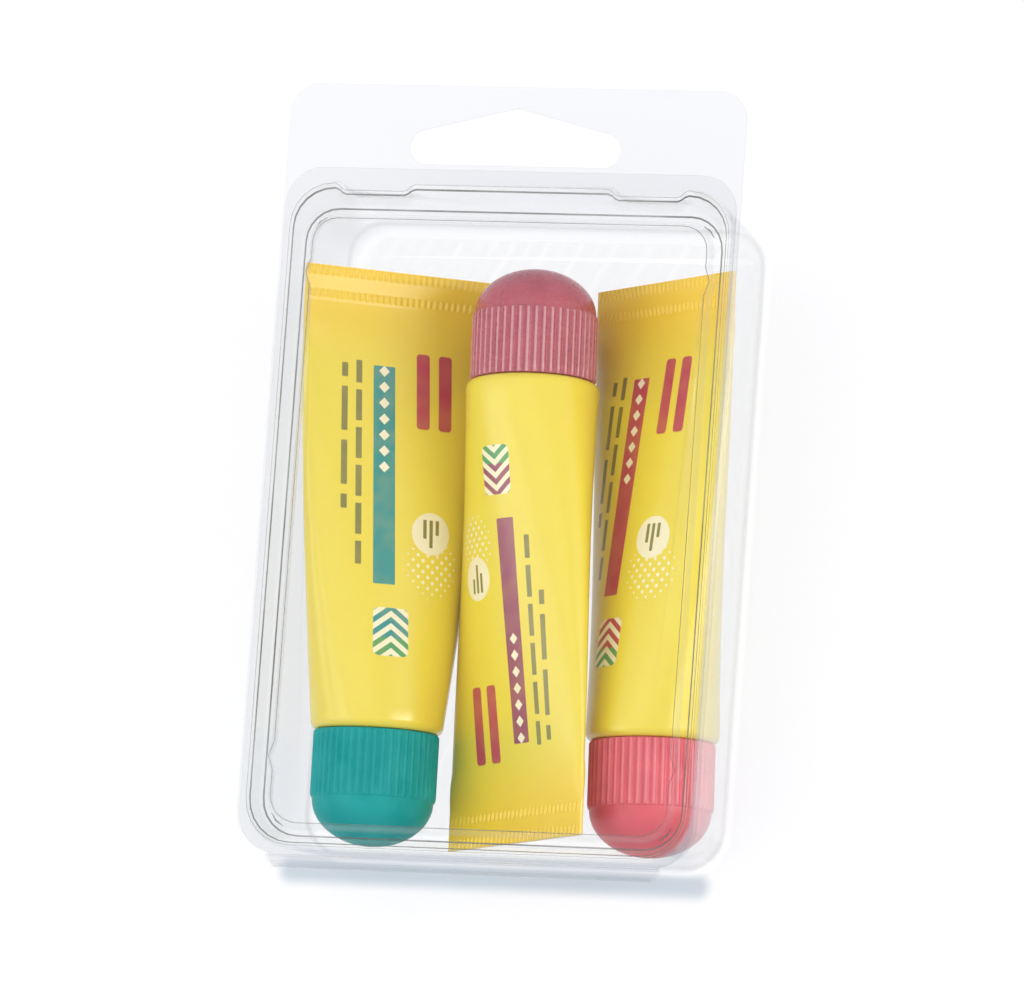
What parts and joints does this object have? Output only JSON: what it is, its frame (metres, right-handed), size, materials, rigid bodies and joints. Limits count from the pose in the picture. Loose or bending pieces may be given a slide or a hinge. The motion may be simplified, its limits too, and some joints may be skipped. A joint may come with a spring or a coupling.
{
  "type": "plastic clamshell pack",
  "caption": "Clear thermoformed clamshell pack with a hinged snap lid and hang header, holding squeeze tubes with turning screw caps.",
  "frame": {"origin": "centre of the pack's outline on its back, where it lies on a surface", "axes": "+Z out of the back towards the lid, +Y from the hinge fold to the hang header, +X to the right as seen from the front"},
  "size_m": [0.064, 0.1064, 0.0254],
  "materials": {
    "clear_sheet": "clear, glossy",
    "tube_yellow": "satin, printed",
    "cap_teal": "satin",
    "cap_plum": "satin",
    "cap_coral": "satin"
  },
  "bodies": {
    "pack": {"rear_tray": "clear_sheet", "left_tube": "tube_yellow", "middle_tube": "tube_yellow", "right_tube": "tube_yellow"},
    "lid": {"front_lid": "clear_sheet"},
    "left_cap": {"left_cap": "cap_teal"},
    "middle_cap": {"middle_cap": "cap_plum"},
    "right_cap": {"right_cap": "cap_coral"}
  },
  "joints": [
    {"name": "lid_hinge", "type": "hinge", "parent": "pack", "child": "lid", "pos_m": [0, -0.05322, 0.02443], "axis": [1, 0, 0], "range_deg": [0, 180]},
    {"name": "left_cap_turn", "type": "hinge", "parent": "pack", "child": "left_cap", "pos_m": [-0.01787, -0.03292, 0.00984], "axis": [0.0096, -0.9997, -0.0208], "range_deg": [0, 180]},
    {"name": "middle_cap_turn", "type": "hinge", "parent": "pack", "child": "middle_cap", "pos_m": [0.001, 0.01515, 0.01155], "axis": [-0.0399, 0.9991, -0.0169], "range_deg": [0, 180]},
    {"name": "right_cap_turn", "type": "hinge", "parent": "pack", "child": "right_cap", "pos_m": [0.02077, -0.03292, 0.0097], "axis": [0.0399, -0.9992, -0.0049], "range_deg": [0, 180]}
  ]
}
